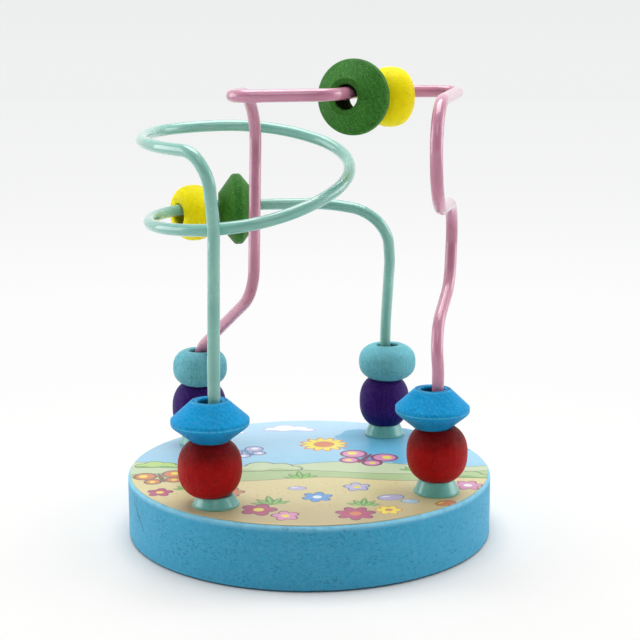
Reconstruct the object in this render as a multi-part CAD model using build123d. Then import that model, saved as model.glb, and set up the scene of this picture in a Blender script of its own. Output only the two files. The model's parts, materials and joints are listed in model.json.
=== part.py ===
from build123d import *
import math
import os
from collections import namedtuple

os.makedirs("parts", exist_ok=True)

# Driving sizes of the bead maze, in millimetres
# The origin is the centre of the base's underside, +Z is up and +Y points to the back
base_diameter = 95.0
base_thickness = 16.0
post_edge_distance = 9.0
wire_diameter = 3.0
wire_top_height = 113.5
widest_bead_diameter = 18.9
bead_bore_diameter = 6.0

# Directions of the four drilled holes, as shares of a full turn from +X
post_turn_shares = {
    "front_left": 0.65083,
    "front_right": 0.90333,
    "back_right": 0.15528,
    "back_left": 0.39861,
}

# Base disc
base_top_edge_radius = 0.9
base_foot_edge_radius = 0.7
wire_socket_depth = 4.5

# Printed sheet on the base
print_border = 0.6
print_thickness = 0.15

# Plastic collars that plug the holes and grip the wires
collar_height = 3.5
collar_height_shares = {"front_left": 0.77, "front_right": 1.0, "back_right": 0.957, "back_left": 0.957}
collar_flange_diameter = 11.4
collar_rim_thickness = 0.45
collar_top_diameter = 8.6
collar_top_edge_radius = 0.5
collar_bulge_share = 0.06
collar_plug_length = 7.0
collar_wall = 1.7
collar_rib_height = 0.25
collar_rib_width = 0.8
collar_rib_count = 6

# Clearances
wire_clearance = 0.05
plug_clearance = 0.3
hole_bottom_clearance = 0.3

# Ends of the wires
wire_end_chamfer = 0.4

# Beads: land is the flat ring round the bore, belt is the flat band round a double cone's widest part
bead_land_width = 1.5
bead_bore_edge_radius = 0.35
bead_land_edge_radius = 0.4
belt_width = 2.0
belt_edge_radius = 1.1

# How full the side of a round bead is: 2 gives an ellipse, more gives fuller shoulders
ball_fullness = 2.35
oblate_fullness = 2.5
bead_side_steps = 12

# Forms of the beads, with their diameters and heights as shares of the widest bead's diameter
Bead = namedtuple("Bead", "form diameter_share height_share")
bead_shares = {
    "front_left_red_bead": Bead("ball", 0.820, 0.698),
    "front_left_blue_bead": Bead("double_cone", 1.000, 0.519),
    "front_right_red_bead": Bead("ball", 0.799, 0.688),
    "front_right_blue_bead": Bead("double_cone", 0.968, 0.513),
    "back_right_purple_bead": Bead("ball", 0.751, 0.698),
    "back_right_teal_bead": Bead("oblate", 0.852, 0.519),
    "back_left_purple_bead": Bead("ball", 0.794, 0.741),
    "back_left_teal_bead": Bead("oblate", 0.788, 0.505),
    "loop_green_bead": Bead("double_cone", 1.000, 0.513),
    "loop_yellow_bead": Bead("oblate", 0.783, 0.497),
    "top_green_bead": Bead("double_cone", 0.963, 0.519),
    "top_yellow_bead": Bead("oblate", 0.772, 0.497),
}

# Beads on each post, from the collar up
stacks = {
    "front_left": ["front_left_red_bead", "front_left_blue_bead"],
    "front_right": ["front_right_red_bead", "front_right_blue_bead"],
    "back_right": ["back_right_purple_bead", "back_right_teal_bead"],
    "back_left": ["back_left_purple_bead", "back_left_teal_bead"],
}

# Bend points of the wires. x, y and the bend radius are shares of the post circle's radius,
# and the height is a share of the wire's top height
Bend = namedtuple("Bend", "x_share y_share height_share radius_share")
mint_lean_height_share = 0.441
mint_lean_radius_share = 0.78
loop_bend = Bend(-1.040, 0.490, 0.733, 0.55)
mint_bend_shares = [
    Bend(-0.569, -0.809, 0.732, 0.52),
    Bend(-0.587, -0.902, 0.832, 0.19),
    Bend(-0.675, -0.876, 0.888, 0.17),
    Bend(-1.148, -0.432, 0.897, 0.90),
    Bend(-0.985, 0.414, 0.918, 0.42),
    Bend(-0.283, 0.477, 0.927, 0.92),
    Bend(0.277, 0.091, 0.874, 0.58),
    Bend(0.257, -0.424, 0.812, 0.54),
    Bend(-0.133, -0.783, 0.745, 0.66),
    Bend(-0.642, -0.692, 0.720, 0.67),
    Bend(-1.040, -0.385, 0.716, 0.60),
    loop_bend,
    Bend(0.120, 0.470, 0.740, 0.69),
    Bend(0.536, 0.296, 0.721, 0.26),
    Bend(0.570, 0.502, 0.601, 0.54),
]
mint_end_rise_share = 0.126
mint_end_radius_share = 0.47

pink_post_rise_share = -0.010
pink_post_radius_share = 0.26
pink_slope_x_share = -0.364
pink_slope_y_share = -0.118
pink_slope_rise_share = 0.518
pink_slope_radius_share = 0.30
top_bend = Bend(0.360, -0.240, 1.004, 0.21)
pink_bend_shares = [
    Bend(-0.337, -0.037, 1.005, 0.32),
    Bend(-0.492, -0.743, 0.996, 0.13),
    Bend(0.140, -0.710, 0.999, 0.16),
    top_bend,
    Bend(0.990, -0.030, 1.003, 0.10),
    Bend(0.734, -1.114, 0.984, 0.28),
    Bend(0.754, -1.042, 0.771, 0.33),
    Bend(0.953, -0.075, 0.763, 0.27),
    Bend(0.929, -0.132, 0.579, 0.22),
    Bend(0.802, -0.570, 0.499, 0.29),
]
pink_lean_height_share = 0.414
pink_lean_radius_share = 0.77

# How far each bead hangs or leans off its wire, as a share of its play on the wire
stack_lean_shares = {
    "front_left_red_bead": (-0.85, 0.0),
    "front_left_blue_bead": (-0.72, 0.1),
    "front_right_red_bead": (0.0, 0.1),
    "front_right_blue_bead": (-0.85, 0.1),
    "back_right_purple_bead": (-0.1, 0.0),
    "back_right_teal_bead": (0.4, -0.1),
    "back_left_purple_bead": (0.1, 0.0),
}
first_bend_lean_share = 0.8
loop_green_hang_share = 0.7
loop_yellow_hang_share = 0.85
top_green_hang_share = 0.72
top_yellow_hang_share = 0.9
top_green_tilt_angle = 3.0

# Places of the beads on the bends: the angle that the loop's green bead stands back from the end
# of its bend, and the gap that each top bead keeps from the middle of its own
loop_green_back_angle = 2.0
top_bead_gap = 0.1

# Sizes worked out from the ones above
post_circle_radius = base_diameter / 2 - post_edge_distance
wire_radius = wire_diameter / 2
bead_bore_radius = bead_bore_diameter / 2
bead_play = bead_bore_radius - wire_radius
land_radius = bead_bore_radius + bead_land_width
collar_bore_radius = wire_radius + wire_clearance
collar_plug_radius = collar_bore_radius + collar_wall
base_hole_radius = collar_plug_radius + plug_clearance
base_hole_depth = collar_plug_length - print_thickness + hole_bottom_clearance
print_diameter = base_diameter - 2 * print_border
deck_height = base_thickness + print_thickness
wire_foot = base_thickness - base_hole_depth - wire_socket_depth + hole_bottom_clearance

Turning = namedtuple("Turning", "form diameter height")
beads = {}
for name, shares in bead_shares.items():
    diameter = shares.diameter_share * widest_bead_diameter
    height = shares.height_share * widest_bead_diameter
    beads[name] = Turning(shares.form, diameter, height)


def post_point(corner, height):
    """Point on the axis of one of the four drilled holes."""
    angle = 2 * math.pi * post_turn_shares[corner]
    return Vector(post_circle_radius * math.cos(angle), post_circle_radius * math.sin(angle), height)


def collar_top(corner):
    """Height of the top of a collar, where the lowest bead of its post stands."""
    return deck_height + collar_height_shares[corner] * collar_height


def stack_top(corner):
    """Height of the top of the beads that stand on a post."""
    return collar_top(corner) + sum(beads[name].height for name in stacks[corner])


# A corner of a wire's route: the point where two straight runs would meet, and the bend's radius
Corner = namedtuple("Corner", "point radius")


def table_corners(bends):
    """Corners of a route that come from rows of a table of shares."""
    corners = []
    for bend in bends:
        x = bend.x_share * post_circle_radius
        y = bend.y_share * post_circle_radius
        point = Vector(x, y, bend.height_share * wire_top_height)
        corners.append(Corner(point, bend.radius_share * post_circle_radius))
    return corners


def post_corner(post, height, radius_share):
    """Corner of a route straight above one of the four holes."""
    return Corner(post_point(post, height), radius_share * post_circle_radius)


# Geometry of a bend: its centre and turning axis, the ends of its arc, and the runs on both sides
BendGeometry = namedtuple("BendGeometry", "centre axis start end run_in run_out")


def bend_geometry(corners, corner):
    """Geometry of the bend that stands at one corner of a route."""
    number = corners.index(corner)
    run_in = (corner.point - corners[number - 1].point).normalized()
    run_out = (corners[number + 1].point - corner.point).normalized()
    turn = math.acos(run_in.dot(run_out))
    setback = corner.radius * math.tan(turn / 2)
    towards_centre = (run_out - run_in).normalized()
    centre = corner.point + towards_centre * (corner.radius / math.cos(turn / 2))
    axis = run_in.cross(run_out).normalized()
    start = corner.point - run_in * setback
    end = corner.point + run_out * setback
    return BendGeometry(centre, axis, start, end, run_in, run_out)


def bent_wire(first_post, corners, last_post):
    """Round wire: straight runs joined by tangent bends, with a chamfered end in each of two holes."""
    points = [corner.point for corner in corners]
    ends = [post_point(first_post, wire_foot), post_point(last_post, wire_foot)]
    path = FilletPolyline(ends[0], *points, ends[1], radius=[corner.radius for corner in corners])
    section = Plane(origin=path @ 0, z_dir=path % 0) * Circle(wire_radius)
    wire = sweep(section, path=path)
    rims = [edge for edge in wire.edges() if abs(edge.center().Z - wire_foot) < wire_end_chamfer]
    return chamfer(rims, wire_end_chamfer)


def base_disc():
    """Wooden disc with rounded rims and four stepped blind holes."""
    disc = Cylinder(base_diameter / 2, base_thickness, align=(Align.CENTER, Align.CENTER, Align.MIN))
    disc = fillet(disc.edges().sort_by(Axis.Z)[-1], base_top_edge_radius)
    disc = fillet(disc.edges().sort_by(Axis.Z)[0], base_foot_edge_radius)
    below = (Align.CENTER, Align.CENTER, Align.MAX)
    for corner in post_turn_shares:
        mouth = post_point(corner, base_thickness)
        floor = post_point(corner, base_thickness - base_hole_depth)
        disc -= Pos(mouth) * Cylinder(base_hole_radius, base_hole_depth, align=below)
        disc -= Pos(floor) * Cylinder(wire_radius + wire_clearance, wire_socket_depth, align=below)
    return disc


def top_print():
    """Thin printed sheet on the base, punched where the collars pass."""
    above = (Align.CENTER, Align.CENTER, Align.MIN)
    sheet = Pos(0, 0, base_thickness) * Cylinder(print_diameter / 2, print_thickness, align=above)
    for corner in post_turn_shares:
        hole = Cylinder(base_hole_radius, print_thickness, align=above)
        sheet -= Pos(post_point(corner, base_thickness)) * hole
    return sheet


def collar(corner):
    """Domed plastic collar with a thin rim, and a ribbed plug that is pressed into the base."""
    height = collar_height_shares[corner] * collar_height
    flange = collar_flange_diameter / 2
    top = collar_top_diameter / 2
    rim = (flange, collar_rim_thickness)
    shoulder = (top, height)
    swell = (1 + collar_bulge_share) / 2
    bulge = ((flange + top) * swell, (collar_rim_thickness + height) * swell)
    outline = Polyline(
        (collar_plug_radius, 0),
        (flange, 0),
        rim,
    )
    dome = ThreePointArc(rim, bulge, shoulder)
    inside = Polyline(
        shoulder,
        (collar_bore_radius, height),
        (collar_bore_radius, -collar_plug_length),
        (collar_plug_radius, -collar_plug_length),
        (collar_plug_radius, 0),
    )
    profile = make_face(outline.edges() + dome.edges() + inside.edges())
    body = revolve(Plane.XZ * profile, Axis.Z)
    top_edges = body.edges().filter_by(GeomType.CIRCLE).group_by(Axis.Z)[-1]
    body = fillet(top_edges.sort_by(SortBy.RADIUS)[-1], collar_top_edge_radius)
    rib_length = collar_plug_length - collar_rib_width
    rib_centre = collar_plug_radius + collar_rib_height - collar_rib_width / 2
    for rib_angle in range(0, 360, 360 // collar_rib_count):
        rib = Cylinder(collar_rib_width / 2, rib_length, align=(Align.CENTER, Align.CENTER, Align.MAX))
        body += Rot(0, 0, rib_angle) * Pos(rib_centre, 0, 0) * rib
    return Pos(post_point(corner, deck_height)) * body


def double_cone_profile(bead):
    """Half section of a bead made of two cones that meet in a narrow belt."""
    radius = bead.diameter / 2
    half = bead.height / 2
    corners = Polyline(
        (bead_bore_radius, -half),
        (land_radius, -half),
        (radius, -belt_width / 2),
        (radius, belt_width / 2),
        (land_radius, half),
        (bead_bore_radius, half),
        close=True,
    )
    face = make_face(corners)
    belt_corners = face.vertices().group_by(Axis.X)[-1]
    face = fillet(belt_corners, belt_edge_radius)
    return face


def round_profile(bead, fullness):
    """Half section of a bead whose side is a superellipse, cut flat at its two lands."""
    radius = bead.diameter / 2
    half = bead.height / 2
    land_reach = (1 - (land_radius / radius) ** fullness) ** (1 / fullness)
    side = []
    for step in range(bead_side_steps + 1):
        rise = -math.cos(math.pi * step / bead_side_steps)
        width = radius * (1 - abs(rise * land_reach) ** fullness) ** (1 / fullness)
        side.append((width, rise * half))
    inside = Polyline(
        side[-1],
        (bead_bore_radius, half),
        (bead_bore_radius, -half),
        side[0],
    )
    return make_face(Spline(*side).edges() + inside.edges())


def turned_bead(bead):
    """Wooden bead turned about its bore, centred on the origin with its bore along Z."""
    if bead.form == "double_cone":
        profile = double_cone_profile(bead)
    elif bead.form == "oblate":
        profile = round_profile(bead, oblate_fullness)
    else:
        profile = round_profile(bead, ball_fullness)
    body = revolve(Plane.XZ * profile, Axis.Z)
    circles = body.edges().filter_by(GeomType.CIRCLE)
    bore_edges = [edge for edge in circles if abs(edge.radius - bead_bore_radius) < bead_bore_edge_radius]
    body = fillet(bore_edges, bead_bore_edge_radius)
    circles = body.edges().filter_by(GeomType.CIRCLE)
    land_edges = [edge for edge in circles if abs(edge.radius - land_radius) < bead_land_edge_radius]
    return fillet(land_edges, bead_land_edge_radius)


def stacked_bead(name, corner, seat):
    """Bead that stands on a post with its lower land at the given height."""
    bead = beads[name]
    lean_x, lean_y = stack_lean_shares[name]
    lean = Vector(lean_x * bead_play, lean_y * bead_play, bead.height / 2)
    return Pos(post_point(corner, seat) + lean) * turned_bead(bead)


def threaded_bead(name, centre, direction):
    """Bead at a point of a wire, with its bore along the given direction."""
    return Plane(origin=centre, z_dir=direction) * turned_bead(beads[name])


def save(name, solid):
    """Write one named piece."""
    solid.label = name
    export_step(solid, f"parts/{name}.step")


# Base, print and collars
save("base_disc", base_disc())
save("top_print", top_print())
for corner in post_turn_shares:
    save(f"{corner}_collar", collar(corner))

# Mint wire, from the front left hole round the coil to the back right hole
mint_corners = [
    post_corner("front_left", mint_lean_height_share * wire_top_height, mint_lean_radius_share),
    *table_corners(mint_bend_shares),
    post_corner(
        "back_right",
        stack_top("back_right") + mint_end_rise_share * post_circle_radius,
        mint_end_radius_share,
    ),
]
save("mint_wire", bent_wire("front_left", mint_corners, "back_right"))

# Pink wire, from the back left hole round the top to the front right hole
pink_post_corner = post_corner(
    "back_left",
    stack_top("back_left") + pink_post_rise_share * post_circle_radius,
    pink_post_radius_share,
)
pink_slope_point = Vector(
    pink_slope_x_share * post_circle_radius,
    pink_slope_y_share * post_circle_radius,
    stack_top("back_left") + pink_slope_rise_share * post_circle_radius,
)
pink_corners = [
    pink_post_corner,
    Corner(pink_slope_point, pink_slope_radius_share * post_circle_radius),
    *table_corners(pink_bend_shares),
    post_corner("front_right", pink_lean_height_share * wire_top_height, pink_lean_radius_share),
]
pink_route = [Corner(post_point("back_left", wire_foot), 0), *pink_corners]
save("pink_wire", bent_wire("back_left", pink_corners, "front_right"))

# Beads that stand on straight posts
for corner, names in stacks.items():
    seat = collar_top(corner)
    for name in names:
        if name in stack_lean_shares:
            save(name, stacked_bead(name, corner, seat))
        seat += beads[name].height

# Bead that sits where the pink wire leaves its post
first_bend = bend_geometry(pink_route, pink_post_corner)
first_height = stack_top("back_left") - beads["back_left_teal_bead"].height / 2
first_lean = (first_bend.centre - first_bend.start).normalized() * (first_bend_lean_share * bead_play)
first_place = post_point("back_left", first_height) + first_lean
save("back_left_teal_bead", threaded_bead("back_left_teal_bead", first_place, first_bend.run_in))

# Beads on the low bend of the mint coil, which they follow round its centre
loop_corner = table_corners([loop_bend])[0]
low_bend = bend_geometry(mint_corners, loop_corner)
loop_beads_length = (beads["loop_green_bead"].height + beads["loop_yellow_bead"].height) / 2
land_path_radius = loop_corner.radius - land_radius
loop_yellow_back_angle = loop_green_back_angle + math.degrees(loop_beads_length / land_path_radius)
for name, back_angle, hang_share in (
    ("loop_green_bead", loop_green_back_angle, loop_green_hang_share),
    ("loop_yellow_bead", loop_yellow_back_angle, loop_yellow_hang_share),
):
    hang = Vector(0, 0, -hang_share * bead_play)
    turning_axis = Axis((0, 0, 0), low_bend.axis)
    spoke = (low_bend.end - low_bend.centre).rotate(turning_axis, -back_angle)
    along = low_bend.run_out.rotate(turning_axis, -back_angle)
    save(name, threaded_bead(name, low_bend.centre + spoke + hang, along))

# Beads on the two straight runs that meet in the top bend of the pink wire
top_corner = table_corners([top_bend])[0]
high_bend = bend_geometry(pink_corners, top_corner)
top_in = high_bend.run_in
top_out = high_bend.run_out
green_hang = Vector(0, 0, -top_green_hang_share * bead_play)
yellow_hang = Vector(0, 0, -top_yellow_hang_share * bead_play)
land_setback = land_radius * math.tan(math.radians(top_in.get_angle(top_out)) / 2) + top_bead_gap
green_setback = beads["top_green_bead"].height / 2 + land_setback
yellow_setback = beads["top_yellow_bead"].height / 2 + land_setback
green_place = top_corner.point - top_in * green_setback + green_hang
yellow_place = top_corner.point + top_out * yellow_setback + yellow_hang
tilt_axis = Axis((0, 0, 0), Vector(0, 0, 1).cross(top_in))
green_axis = top_in.rotate(tilt_axis, top_green_tilt_angle)
save("top_green_bead", threaded_bead("top_green_bead", green_place, green_axis))
save("top_yellow_bead", threaded_bead("top_yellow_bead", yellow_place, top_out))

# Places and axes that the joints use
for label, centre, axis in (
    ("bend under the back left beads", first_bend.centre, first_bend.axis),
    ("bend under the loop beads", low_bend.centre, low_bend.axis),
):
    print(label, [round(value, 3) for value in centre], [round(value, 5) for value in axis])
for label, direction in (("run of the top green bead", top_in), ("run of the top yellow bead", top_out)):
    print(label, [round(value, 5) for value in direction])
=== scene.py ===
import json
import math

import bpy
from mathutils import Matrix, Quaternion, Vector


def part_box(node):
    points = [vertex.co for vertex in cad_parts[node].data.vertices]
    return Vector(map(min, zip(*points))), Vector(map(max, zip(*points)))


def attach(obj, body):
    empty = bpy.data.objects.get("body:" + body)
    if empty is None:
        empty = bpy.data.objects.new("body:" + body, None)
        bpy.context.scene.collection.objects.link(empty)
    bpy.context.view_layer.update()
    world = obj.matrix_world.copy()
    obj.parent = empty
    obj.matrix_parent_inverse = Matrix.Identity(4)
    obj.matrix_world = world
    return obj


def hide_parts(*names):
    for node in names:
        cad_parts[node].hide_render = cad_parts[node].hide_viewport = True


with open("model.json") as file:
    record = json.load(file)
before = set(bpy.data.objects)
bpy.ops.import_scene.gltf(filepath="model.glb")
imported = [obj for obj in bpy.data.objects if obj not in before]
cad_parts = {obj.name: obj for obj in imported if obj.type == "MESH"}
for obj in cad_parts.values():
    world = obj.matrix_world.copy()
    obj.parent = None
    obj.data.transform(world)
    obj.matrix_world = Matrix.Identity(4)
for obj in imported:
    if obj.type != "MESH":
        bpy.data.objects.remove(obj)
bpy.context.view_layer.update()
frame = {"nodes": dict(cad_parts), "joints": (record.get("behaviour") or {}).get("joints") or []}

# The base: a thick disc cut from a plank, with both rims rounded over. It is sprayed sky blue in
# one thin coat, so pores show through it. The rims are worn pale, and the top rim is also painted
# lighter as a highlight. A dark line along the foot is painted shadow where the base meets the
# floor, and the coat dried with one short crack and one nib of dust.
MILLIMETRE = 0.001
base_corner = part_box("base_disc")[1] / MILLIMETRE
base_radius = base_corner.x
base_height = base_corner.z
base_blue = (0.046, 0.400, 0.640, 1.0)
base_blue_deep = (0.026, 0.310, 0.530, 1.0)
# Pale blue of the thin coat, which also paints the highlight on the top rim
base_blue_thin_and_highlight = (0.390, 0.780, 0.960, 1.0)
# Dark blue of the pores, which also paints the shadow along the foot
base_pore_and_shadow_blue = (0.010, 0.110, 0.210, 1.0)
plank_turn = (math.radians(90), 0.0, 0.0)
plank_fibres = {"Pore_Width": 0.22, "Pore_Length": 1.3, "Pore_Onset": 0.56, "Mottle_Size": 14.0}
coarse_flecks = {"Pore_Width": 0.95, "Pore_Length": 0.60, "Pore_Onset": 0.54, "Mottle_Size": 1.2}
fleck_patch_scale = 0.16
rim_inset = 0.3
# Width of the top rim's wear and painted highlight
top_rim_wear_and_highlight_width = 1.4
foot_rim_wear_width = 0.9
# Heights between which the painted shadow along the foot fades out
painted_foot_shadow_heights = (0.25, 0.75)
crack_middle = (-20.8, 10.0)
crack_slope = 1.0
crack_half_length = 3.4
crack_half_widths = (0.48, 0.06)
crack_waver = 1.2
nib_place = (-5.4, -47.1, 15.7)
nib_radius = 1.0
# The bench holds the node tree that is being built
bench = {}


def put(kind, inputs=None, **settings):
    """Add a node to the tree on the bench. Inputs are plain values or other nodes' outputs."""
    made = bench["tree"].nodes.new(kind)
    for name, value in settings.items():
        setattr(made, name, value)
    for key, value in (inputs or {}).items():
        if isinstance(value, bpy.types.NodeSocket):
            bench["tree"].links.new(value, made.inputs[key])
        else:
            made.inputs[key].default_value = value
    return made.outputs


def maths(operation, *values):
    """Output of a Math node."""
    return put("ShaderNodeMath", dict(enumerate(values)), operation=operation)[0]


def times(first, second):
    """Product of two values."""
    return maths("MULTIPLY", first, second)


def plus(first, second):
    """Sum of two values."""
    return maths("ADD", first, second)


def minus(first, second):
    """First value less the second."""
    return maths("SUBTRACT", first, second)


def larger(first, second):
    """The larger of two values."""
    return maths("MAXIMUM", first, second)


def size_of(value):
    """A value without its sign."""
    return maths("ABSOLUTE", value)


def opposite(share):
    """1 where a share is 0, and 0 where it is 1."""
    return minus(1.0, share)


def below(value, limit):
    """1 where a value is below its limit, and 0 elsewhere."""
    return maths("LESS_THAN", value, limit)


def vector_maths(operation, *values):
    """Output of a Vector Math node."""
    values = dict(enumerate(values))
    return put("ShaderNodeVectorMath", values, operation=operation)[0]


def length_of(vector):
    """Length of a vector."""
    return put("ShaderNodeVectorMath", {0: vector}, operation="LENGTH")["Value"]


def flatten(vector):
    """A place brought down to height 0."""
    return vector_maths("MULTIPLY", vector, (1.0, 1.0, 0.0))


def distance_from(vector, place):
    """Distance from a fixed place."""
    return length_of(vector_maths("SUBTRACT", vector, place))


def parts(vector):
    """The x, y and z of a vector."""
    return put("ShaderNodeSeparateXYZ", {0: vector})


def join_parts(x, y, z=0.0):
    """Vector made of its x, y and z."""
    return put("ShaderNodeCombineXYZ", {0: x, 1: y, 2: z})[0]


def soft_step(value, low, high):
    """0 at low and 1 at high, with a soft change between them."""
    limits = {"Value": value, "From Min": low, "From Max": high}
    return put("ShaderNodeMapRange", limits, interpolation_type="SMOOTHSTEP")[0]


def spread(value, low, high):
    """A share from 0 to 1, spread from low to high."""
    limits = {"Value": value, "To Min": low, "To Max": high}
    return put("ShaderNodeMapRange", limits)[0]


def noise(vector, scale, detail=2.0, roughness=0.5):
    """Output of a Noise Texture."""
    inputs = {"Vector": vector, "Scale": scale, "Detail": detail, "Roughness": roughness}
    return put("ShaderNodeTexNoise", inputs)[0]


def lay(mask, under, over, strength=1.0):
    """Colour that goes from under to over where the mask is 1, as strongly as strength says."""
    if strength != 1.0:
        mask = times(mask, strength)
    return put("ShaderNodeMix", {0: mask, 6: under, 7: over}, data_type="RGBA")[2]


def strongest(*masks):
    """Largest of several masks, each given with its strength."""
    result = 0.0
    for mask, strength in masks:
        result = larger(times(mask, strength), result)
    return result


def pile(relief, *layers):
    """Relief with more layers on it, each given with its height."""
    for layer, height in layers:
        relief = maths("MULTIPLY_ADD", layer, height, relief)
    return relief


def plain_labels(values):
    """The same values, with spaces in their labels."""
    return {label.replace("_", " "): value for label, value in values.items()}


def new_effect(name, **values):
    """Start a node group that reads a place and has named inputs."""
    tree = bench["tree"] = bpy.data.node_groups.new(name, "ShaderNodeTree")
    tree.interface.new_socket("Vector", in_out="INPUT", socket_type="NodeSocketVector")
    for label, value in plain_labels(values).items():
        socket = tree.interface.new_socket(label, in_out="INPUT", socket_type="NodeSocketFloat")
        socket.default_value = value
    return tree.nodes.new("NodeGroupInput").outputs


def finish_effect(**results):
    """Put the results of the node group out by name."""
    tree = bench["tree"]
    for label in plain_labels(results):
        tree.interface.new_socket(label, in_out="OUTPUT", socket_type="NodeSocketFloat")
    output = tree.nodes.new("NodeGroupOutput")
    for label, value in plain_labels(results).items():
        tree.links.new(value, output.inputs[label])
    return tree


def effect(group, vector, **inputs):
    """Place a node group in a material with its own values, and give its outputs."""
    inputs = {"Vector": vector, **plain_labels(inputs)}
    return put("ShaderNodeGroup", inputs, node_tree=group)


def new_material(name, roughness, gloss):
    """Start a material: the material and its shader."""
    material = bpy.data.materials.new(name)
    material.use_nodes = True
    bench["tree"] = material.node_tree
    shader = material.node_tree.nodes["Principled BSDF"]
    shader.inputs["Roughness"].default_value = roughness
    shader.inputs["Specular IOR Level"].default_value = gloss
    return material, shader


def object_place(turn=(0.0, 0.0, 0.0)):
    """Place on the piece in millimetres, turned if need be."""
    place = put("ShaderNodeTexCoord")["Object"]
    inputs = {"Vector": place, "Rotation": turn, "Scale": (1 / MILLIMETRE,) * 3}
    return put("ShaderNodeMapping", inputs)[0]


def join(output, inlet):
    """Join an output to an input that is there already."""
    bench["tree"].links.new(output, inlet)


def finish_surface(shader, colour, roughness, relief, depth):
    """Join colour, roughness and relief to the shader. Depth is the relief's in millimetres."""
    bump = {"Height": relief, "Distance": depth * MILLIMETRE}
    join(colour, shader.inputs["Base Color"])
    join(roughness, shader.inputs["Roughness"])
    join(put("ShaderNodeBump", bump)[0], shader.inputs["Normal"])


def make_wood_effect():
    """Painted wood with its fibres along Z: pores, mottling of the coat, and their relief."""
    given = new_effect("painted_wood", Pore_Width=0.2, Pore_Length=1.0, Pore_Onset=0.6,
                       Mottle_Size=4.0)
    width, onset = given["Pore Width"], given["Pore Onset"]
    pore_size = join_parts(width, width, given["Pore Length"])
    fibres = vector_maths("DIVIDE", given["Vector"], pore_size)
    fibres = noise(fibres, 1.0, detail=3.0, roughness=0.6)
    pores = soft_step(fibres, onset, plus(onset, 0.09))
    mottle_scale = maths("DIVIDE", 1.0, given["Mottle Size"])
    mottle = noise(given["Vector"], mottle_scale, detail=5.0, roughness=0.6)
    return finish_effect(
        Pores=pores,
        Mottle=soft_step(mottle, 0.32, 0.68),
        Relief=minus(times(fibres, 0.5), pores))


def make_rim_effect():
    """Pale band along one turned rim, a circle round Z of a given radius at a given height."""
    given = new_effect("rim_wear_and_lit_edge", Rim_Radius=10.0, Rim_Height=0.0, Width=1.0)
    outwards = minus(length_of(flatten(given["Vector"])), given["Rim Radius"])
    upwards = minus(parts(given["Vector"])[2], given["Rim Height"])
    off_rim = length_of(join_parts(outwards, upwards))
    near = opposite(soft_step(off_rim, 0.0, given["Width"]))
    broken = spread(noise(given["Vector"], 0.6, detail=4.0), 0.35, 1.0)
    return finish_effect(Wear=times(near, broken))


wood_effect = make_wood_effect()
rim_effect = make_rim_effect()


def make_crack(place):
    """Mask of the crack: a thin wavering line that climbs the left of the base's side."""
    side, depth, height = parts(place)
    climb = minus(height, crack_middle[1])
    waver = times(minus(noise(place, 0.35), 0.5), crack_waver)
    slope = plus(times(climb, crack_slope), waver)
    off_line = size_of(minus(minus(depth, crack_middle[0]), slope))
    along = maths("DIVIDE", size_of(climb), crack_half_length)
    crack = below(off_line, spread(along, *crack_half_widths))
    crack = times(crack, below(along, 1.0))
    return times(crack, below(side, 0.0))


def make_base_paint():
    """Thin sky blue coat on wood, worn and flawed, with a painted rim highlight and painted foot
    shadow.
    """
    material, shader = new_material("sky_blue_base_paint", roughness=0.5, gloss=0.22)
    place = object_place()
    fibres = effect(wood_effect, object_place(turn=plank_turn), **plank_fibres)
    flecks = effect(wood_effect, place, **coarse_flecks)
    top_rim_wear_and_highlight = effect(rim_effect, place, Rim_Radius=base_radius - rim_inset,
                     Rim_Height=base_height - rim_inset, Width=top_rim_wear_and_highlight_width)
    foot_rim = effect(rim_effect, place, Rim_Radius=base_radius, Rim_Height=rim_inset,
                      Width=foot_rim_wear_width)
    # The top rim is worn pale and also painted lighter as a highlight; the foot rim is only worn
    rim_wear_and_highlight = strongest((top_rim_wear_and_highlight["Wear"], 1.0), (foot_rim["Wear"], 0.2))
    patches = soft_step(noise(place, fleck_patch_scale), 0.40, 0.62)
    patchy_flecks = times(flecks["Pores"], spread(patches, 0.30, 1.0))
    pores = strongest((fibres["Pores"], 0.7), (patchy_flecks, 1.0))
    # Painted shadow: a dark line along the foot, where the base meets the floor
    painted_foot_shadow = opposite(soft_step(parts(place)[2], *painted_foot_shadow_heights))
    crack = make_crack(place)
    nib = soft_step(distance_from(place, nib_place), 0.1, nib_radius)
    colour = lay(fibres["Mottle"], base_blue, base_blue_deep, strength=0.16)
    colour = lay(flecks["Mottle"], colour, base_blue_thin_and_highlight, strength=0.07)
    colour = lay(pores, colour, base_pore_and_shadow_blue, strength=0.38)
    # Wear on both rims, with a painted highlight on the top rim
    colour = lay(rim_wear_and_highlight, colour, base_blue_thin_and_highlight, strength=0.90)
    # Painted shadow along the foot
    colour = lay(painted_foot_shadow, colour, base_pore_and_shadow_blue, strength=0.85)
    colour = lay(crack, colour, base_pore_and_shadow_blue, strength=0.80)
    roughness = spread(plus(pores, rim_wear_and_highlight), 0.46, 0.62)
    relief = pile(fibres["Relief"], (flecks["Relief"], 0.7), (opposite(nib), 12.0), (crack, -4.0))
    finish_surface(shader, colour, roughness, relief, depth=0.05)
    return material


frame["nodes"]["base_disc"].data.materials[0] = make_base_paint()

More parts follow.
